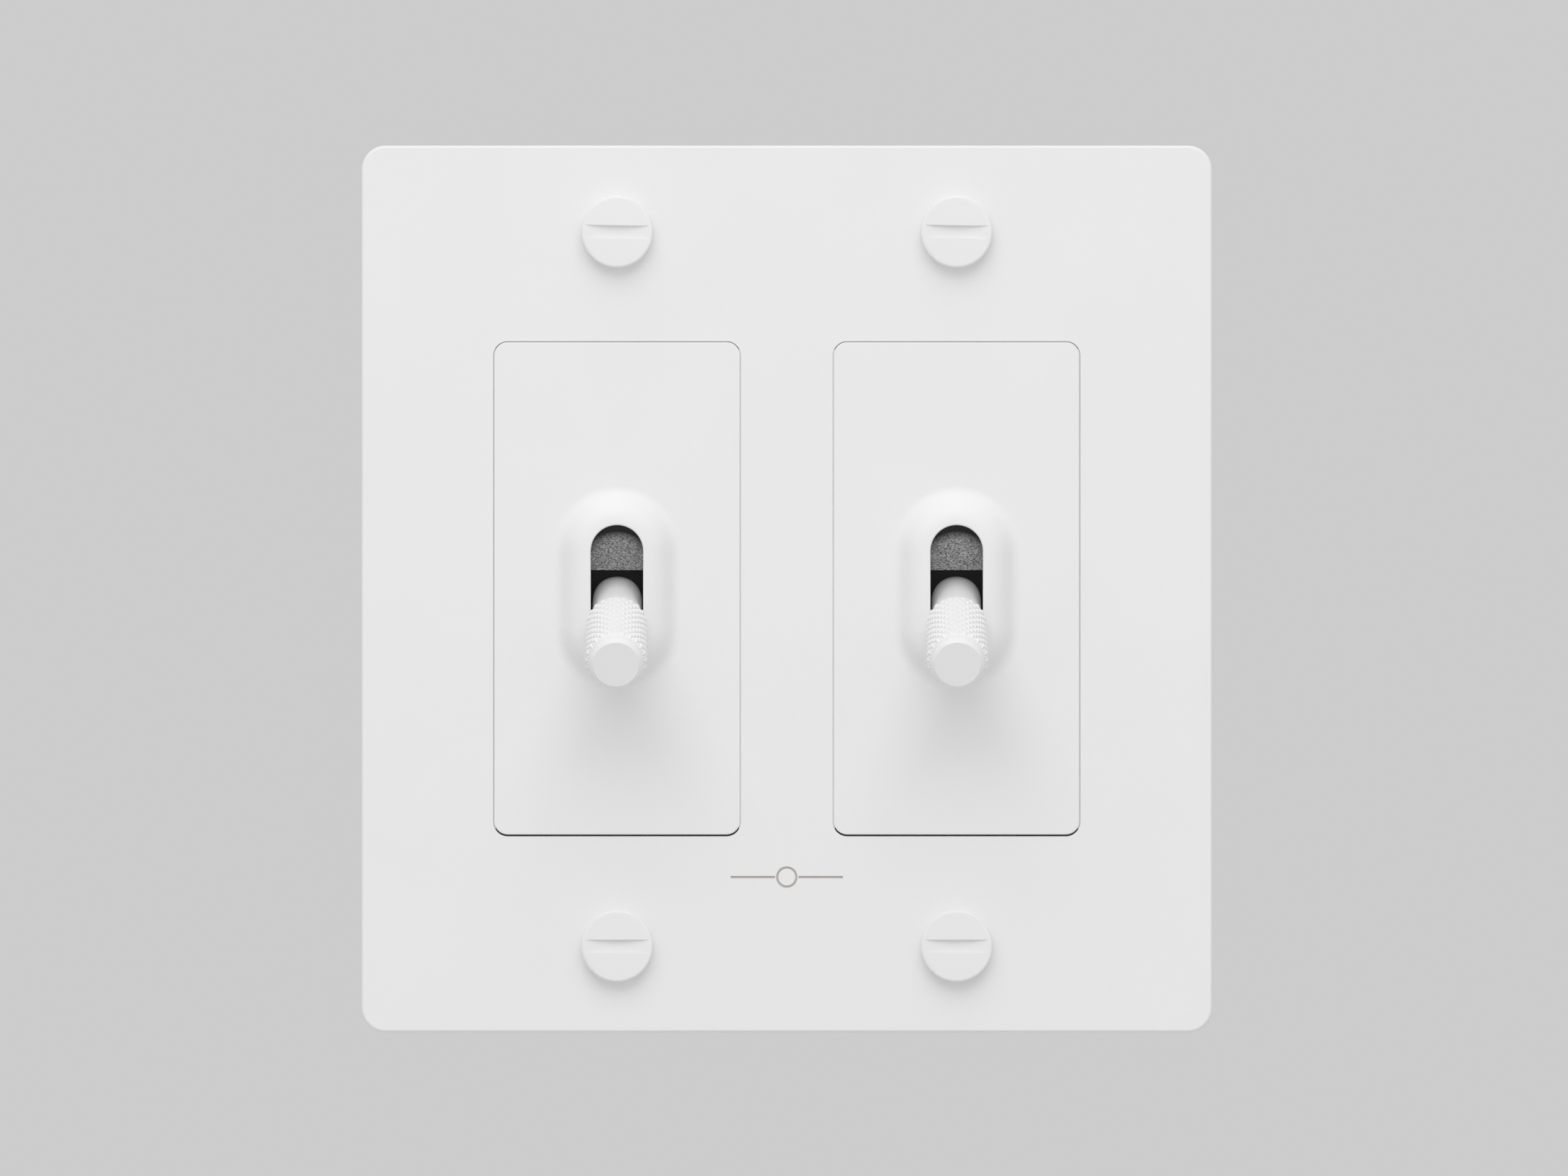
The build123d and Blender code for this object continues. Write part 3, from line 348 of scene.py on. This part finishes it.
def make_materials():
    """One material for each slot of the record."""
    return {
        "plate_paint": powder_coat("plate_paint", 0.86, gap_shade_area=inside_plate, filled=in_engraving),
        "screw_paint": powder_coat("screw_paint", 0.86, grain=1.4),
        "panel_paint": powder_coat("panel_paint", 0.86, gap_shade_area=panel_sides),
        "lever_paint": powder_coat("lever_paint", 0.87, roughness=0.45, grain=1.6),
        "dolly_black": dolly_plastic("dolly_black"),
        "pin_steel": metal("pin_steel", grey(0.5), grey(0.62), 0.25),
        "plunger_nylon": plastic("plunger_nylon", (0.6, 0.57, 0.48), (0.68, 0.65, 0.56), 0.45),
        "spring_steel": metal("spring_steel", grey(0.4), grey(0.55), 0.3),
        "contact_copper": metal("contact_copper", (0.6, 0.31, 0.2), (0.74, 0.42, 0.28), 0.32),
        "contact_silver": metal("contact_silver", grey(0.72), grey(0.85), 0.3),
        "terminal_brass": metal("terminal_brass", (0.6, 0.43, 0.19), (0.74, 0.56, 0.28), 0.35),
        "terminal_screw_brass": metal(
            "terminal_screw_brass", (0.58, 0.41, 0.17), (0.72, 0.54, 0.26), 0.3
        ),
        "housing_base_plastic": plastic("housing_base_plastic", grey(0.012), grey(0.018), 0.55),
        "housing_cover_plastic": plastic("housing_cover_plastic", grey(0.03), grey(0.04), 0.5),
        "yoke_steel": metal("yoke_steel", (0.4, 0.41, 0.42), (0.52, 0.53, 0.54), 0.5),
        "ground_green": metal("ground_green", (0.02, 0.16, 0.05), (0.05, 0.28, 0.1), 0.35),
        "screw_steel": metal("screw_steel", (0.5, 0.5, 0.52), (0.68, 0.68, 0.7), 0.3),
        "retainer_fibre": plastic("retainer_fibre", (0.2, 0.045, 0.025), (0.28, 0.07, 0.04), 0.7),
    }


def paint(obj, material):
    obj.data.materials.clear()
    obj.data.materials.append(material)


# ---- knurled grips ----------------------------------------------------------------------------
KNURL_COUNT = 24
KNURL_PITCH = 2.03 * MM
KNURL_DEPTH = 0.24 * MM
KNURL_CREST = 0.46                 # the flat top's share of a diamond's width


GRIP_CHAMFER = 0.5 * MM
SIDEWAYS = Vector((1, 0, 0))
TOUCHING = 1e-7                     # metres, for vertices that lie in one place or plane


def on_lever(side, place):
    """How far out along the lever a place is, and its spoke from the lever's axis."""
    away = place - PIVOTS[side]
    out = away.dot(LEVER_OUT)
    return out, away - LEVER_OUT * out


def lever_span(side, piece):
    """A lever piece's start and end along the lever and its outer and inner radius."""
    vertices = frame["nodes"][f"{piece}_{side}"].data.vertices
    places = [on_lever(side, vertex.co) for vertex in vertices]
    outs = [out for out, _ in places]
    radii = [spoke.length for _, spoke in places]
    return min(outs), max(outs), max(radii), min(radii)


def make_grip(side, material):
    """A sleeve whose skin has two families of V grooves, which leave flat-topped diamonds."""
    start, end, crest, bore = lever_span(side, "lever_grip")
    root = crest - KNURL_DEPTH
    pivot = PIVOTS[side]
    bm = bmesh.new()
    corners = {}

    def point(u, v, radius):
        """The vertex at grooves u and v, which wind opposite ways; shared by its faces."""
        turn = round((u + v) % (2 * KNURL_COUNT), 4) % (2 * KNURL_COUNT)
        key = (turn, round(u - v, 4), radius)
        if key not in corners:
            angle = math.pi * (u + v) / KNURL_COUNT
            out = middle + KNURL_PITCH * (u - v) / 2
            spoke = SIDEWAYS * math.cos(angle) + LEVER_ACROSS * math.sin(angle)
            corners[key] = bm.verts.new(pivot + LEVER_OUT * out + spoke * radius)
        return corners[key]

    middle = (start + end) / 2
    rows = math.ceil((end - start) / KNURL_PITCH) + 2
    low, high = 0.5 - KNURL_CREST / 2, 0.5 + KNURL_CREST / 2
    for row in range(-rows, rows + 1):
        for column in range(KNURL_COUNT):
            # along the lever u - v is the row; u + v is twice the column, and one more in odd rows
            u = column + (row + row % 2) / 2
            v = u - row
            outer = [(u, v), (u + 1, v), (u + 1, v + 1), (u, v + 1)]
            inner = [
                (u + low, v + low), (u + high, v + low), (u + high, v + high), (u + low, v + high)
            ]
            base = [point(*corner, root) for corner in outer]
            top = [point(*corner, crest) for corner in inner]
            bm.faces.new(top)
            for k in range(4):
                bm.faces.new((base[k], base[(k + 1) % 4], top[(k + 1) % 4], top[k]))
    for out, keep in ((start, 1), (end, -1)):
        for inset, clear in ((0, True), (GRIP_CHAMFER, False)):
            bmesh.ops.bisect_plane(
                bm,
                geom=bm.verts[:] + bm.edges[:] + bm.faces[:],
                plane_co=pivot + LEVER_OUT * (out + keep * inset),
                plane_no=LEVER_OUT * -keep,
                clear_outer=clear,
            )
    for vertex in bm.verts:
        out, spoke = on_lever(side, vertex.co)
        room = crest - max(0, GRIP_CHAMFER - min(out - start, end - out))
        if spoke.length > room:
            vertex.co = pivot + LEVER_OUT * out + spoke.normalized() * room
    # the end faces, down to the bore
    for out in (start, end):
        rim = [
            edge for edge in bm.edges
            if edge.is_boundary
            and all(abs(on_lever(side, v.co)[0] - out) < TOUCHING for v in edge.verts)
        ]
        made = bmesh.ops.extrude_edge_only(bm, edges=rim)
        for vertex in (item for item in made["geom"] if isinstance(item, bmesh.types.BMVert)):
            reach, spoke = on_lever(side, vertex.co)
            vertex.co = pivot + LEVER_OUT * reach + spoke.normalized() * bore
    bmesh.ops.recalc_face_normals(bm, faces=bm.faces[:])
    mesh = bpy.data.meshes.new(f"grip_knurl_{side}")
    bm.to_mesh(mesh)
    bm.free()
    grip = bpy.data.objects.new(f"grip_knurl_{side}", mesh)
    bpy.context.scene.collection.objects.link(grip)
    paint(grip, material)
    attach(grip, f"lever_{side}")
    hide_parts(f"lever_grip_{side}")


# ---- screws with real threads ------------------------------------------------------------------
THREAD_SEGMENTS = 28
THREAD_STEPS = 6                    # rows of faces in one turn's pitch
THREAD_PITCH = 0.794 * MM
THREAD_DEPTH = 0.42 * MM
THREAD_CREST_SHARE = 0.2
BOX_THREAD_START, BOX_THREAD_RADIUS, BOX_HEAD_RADIUS = 1.4 * MM, 1.75 * MM, 3.4 * MM
PLATE_SHANK_END, COVER_THREAD_RADIUS = -3.0 * MM, 1.7 * MM
OVERLAP = 0.05 * MM                 # how far a rod starts inside its head's cut end
SHARP = math.radians(30)


def thread_radius(crest, along, angle, length):
    """The radius of a V thread, which fades in at its start and out at its tip."""
    phase = (along / THREAD_PITCH - angle / math.tau) % 1.0
    from_crest = (abs(phase - 0.5) * 2 - THREAD_CREST_SHARE) / (1 - THREAD_CREST_SHARE)
    flank = min(1.0, max(0.0, from_crest))
    fade = min(1.0, along / THREAD_PITCH, (length - along) / THREAD_PITCH)
    return crest - THREAD_DEPTH * (1 - (1 - flank) * max(0.0, fade))


def add_thread(bm, x, z, start, end, crest):
    """A closed threaded rod that runs into the wall from start to end."""
    rows = round((end - start) / THREAD_PITCH * THREAD_STEPS)
    rings = []
    for row in range(rows + 1):
        along = (end - start) * row / rows
        ring = []
        for step in range(THREAD_SEGMENTS):
            angle = math.tau * step / THREAD_SEGMENTS
            radius = thread_radius(crest, along, angle, end - start)
            right, up = radius * math.cos(angle), radius * math.sin(angle)
            ring.append(bm.verts.new((x + right, start + along, z + up)))
        rings.append(ring)
    for low_ring, high_ring in zip(rings, rings[1:]):
        for step in range(THREAD_SEGMENTS):
            after = (step + 1) % THREAD_SEGMENTS
            bm.faces.new((low_ring[step], low_ring[after], high_ring[after], high_ring[step]))
    bm.faces.new(rings[0])
    bm.faces.new(reversed(rings[-1]))


def add_object(name, bm, material, slot, body, *replaced):
    """Finish a mesh as a piece that rides on a body in place of CAD nodes."""
    bmesh.ops.recalc_face_normals(bm, faces=bm.faces[:])
    mesh = bpy.data.meshes.new(name)
    bm.to_mesh(mesh)
    bm.free()
    carried = mesh.attributes.get("custom_normal")      # the CAD's own, which no longer fit
    if carried:
        mesh.attributes.remove(carried)
    mesh.shade_smooth()
    mesh.set_sharp_from_angle(angle=SHARP)
    piece = bpy.data.objects.new(name, mesh)
    bpy.context.scene.collection.objects.link(piece)
    paint(piece, material)
    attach(piece, body)
    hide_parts(*replaced)
    return piece


def cut_heads(node_name, end_y):
    """A copy of a screw node's mesh, up to a depth, with the cuts closed."""
    bm = bmesh.new()
    bm.from_mesh(frame["nodes"][node_name].data)
    bmesh.ops.remove_doubles(bm, verts=bm.verts[:], dist=TOUCHING)
    cut = bmesh.ops.bisect_plane(
        bm, geom=bm.verts[:] + bm.edges[:] + bm.faces[:],
        plane_co=(0, end_y, 0), plane_no=(0, 1, 0), clear_outer=True,
    )
    rims = [edge for edge in cut["geom_cut"] if isinstance(edge, bmesh.types.BMEdge)]
    bmesh.ops.holes_fill(bm, edges=rims, sides=0)
    return bm


def make_screws(materials, slots):
    """The cover's and the boxes' screws: the CAD heads, on rods with rolled threads."""
    for side in SIDES:
        name = f"box_screws_{side}"
        low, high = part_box(name)
        bm = cut_heads(name, BOX_THREAD_START)
        x, start = (low.x + high.x) / 2, BOX_THREAD_START - OVERLAP
        for z in (low.z + BOX_HEAD_RADIUS, high.z - BOX_HEAD_RADIUS):
            add_thread(bm, x, z, start, high.y, BOX_THREAD_RADIUS)
        slot = slots[name]
        add_object(f"box_screw_pair_{side}", bm, materials[slot], slot, "switch_body", name)
    cover = "plate_screws"
    low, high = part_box(cover)
    bm = cut_heads(cover, PLATE_SHANK_END)
    paint_slot, bare_slot = "screw_paint", "screw_steel"
    add_object("plate_screw_heads", bm, materials[paint_slot], paint_slot, "switch_body", cover)
    bm = bmesh.new()
    head_radius = high.x - PIVOTS["right"].x
    for x in (low.x + head_radius, high.x - head_radius):
        for z in (low.z + head_radius, high.z - head_radius):
            add_thread(bm, x, z, PLATE_SHANK_END - OVERLAP, high.y, COVER_THREAD_RADIUS)
    add_object("plate_screw_threads", bm, materials[bare_slot], bare_slot, "switch_body", cover)




# ---- stage, light and camera ------------------------------------------------------------------
VIEW_WIDTH = 0.2127                 # what the frame spans at the plate's front
VIEW_CENTRE = Vector((-0.00038, 0, 0.00012))
CAMERA_DISTANCE = 3.0
SENSOR = 36.0
FLOOR_DROP = 0.12
FLOOR_RADIUS = 0.55
FLOOR_SEGMENTS = 96
FAR_CLIP = 100.0
STUDIO_GREY = 0.604                 # what lights the scene evenly from all round


def make_camera(front_y):
    data = bpy.data.cameras.new("camera")
    data.sensor_width = SENSOR
    data.lens = SENSOR * CAMERA_DISTANCE / VIEW_WIDTH
    data.clip_end = FAR_CLIP
    camera = bpy.data.objects.new("camera", data)
    camera.location = VIEW_CENTRE + Vector((0, front_y - CAMERA_DISTANCE, 0))
    camera.rotation_euler = (math.radians(90), 0, 0)
    bpy.context.scene.collection.objects.link(camera)
    bpy.context.scene.camera = camera


def make_floor(low_z):
    bm = bmesh.new()
    bmesh.ops.create_circle(bm, cap_ends=True, radius=FLOOR_RADIUS, segments=FLOOR_SEGMENTS)
    mesh = bpy.data.meshes.new("floor")
    bm.to_mesh(mesh)
    bm.free()
    floor = bpy.data.objects.new("floor", mesh)
    floor.location = (0, 0, low_z - FLOOR_DROP)
    bpy.context.scene.collection.objects.link(floor)
    paint(floor, powder_coat("floor_pale", 0.7, roughness=0.8, grain=0.05))


# name, direction from the plate, distance, diameter and power of each soft light
HIGH = math.radians(50)             # the key's height above level
LIGHTS = [
    ("key", (-0.05, -math.cos(HIGH), math.sin(HIGH)), 1.6, 1.7, 12.4),
    ("front", (0, -1, 0), 2.2, 5.0, 8.8),
]


def make_light(name, towards, distance, size, power):
    data = bpy.data.lights.new(name, "AREA")
    data.shape = "DISK"
    data.size = size
    data.energy = power
    light = bpy.data.objects.new(name, data)
    towards = Vector(towards).normalized()
    light.location = towards * distance
    light.rotation_euler = (-towards).to_track_quat("-Z", "Y").to_euler()
    light.visible_camera = False
    bpy.context.scene.collection.objects.link(light)


def light_scene():
    world = bpy.data.worlds.new("studio")
    world.use_nodes = True
    world.node_tree.nodes["Background"].inputs["Color"].default_value = (*grey(STUDIO_GREY), 1)
    bpy.context.scene.world = world
    for light in LIGHTS:
        make_light(*light)


def main():
    bpy.context.scene.view_settings.view_transform = "Standard"
    materials = make_materials()
    slots = {part["node"]: part["material_slot"] for part in RECORD["subparts"]}
    for name, node in frame["nodes"].items():
        paint(node, materials[slots[name]])
    for side in SIDES:
        make_grip(side, materials["lever_paint"])
    make_screws(materials, slots)
    make_camera(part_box("front_plate")[0].y)
    make_floor(cad_low.z)
    light_scene()


main()
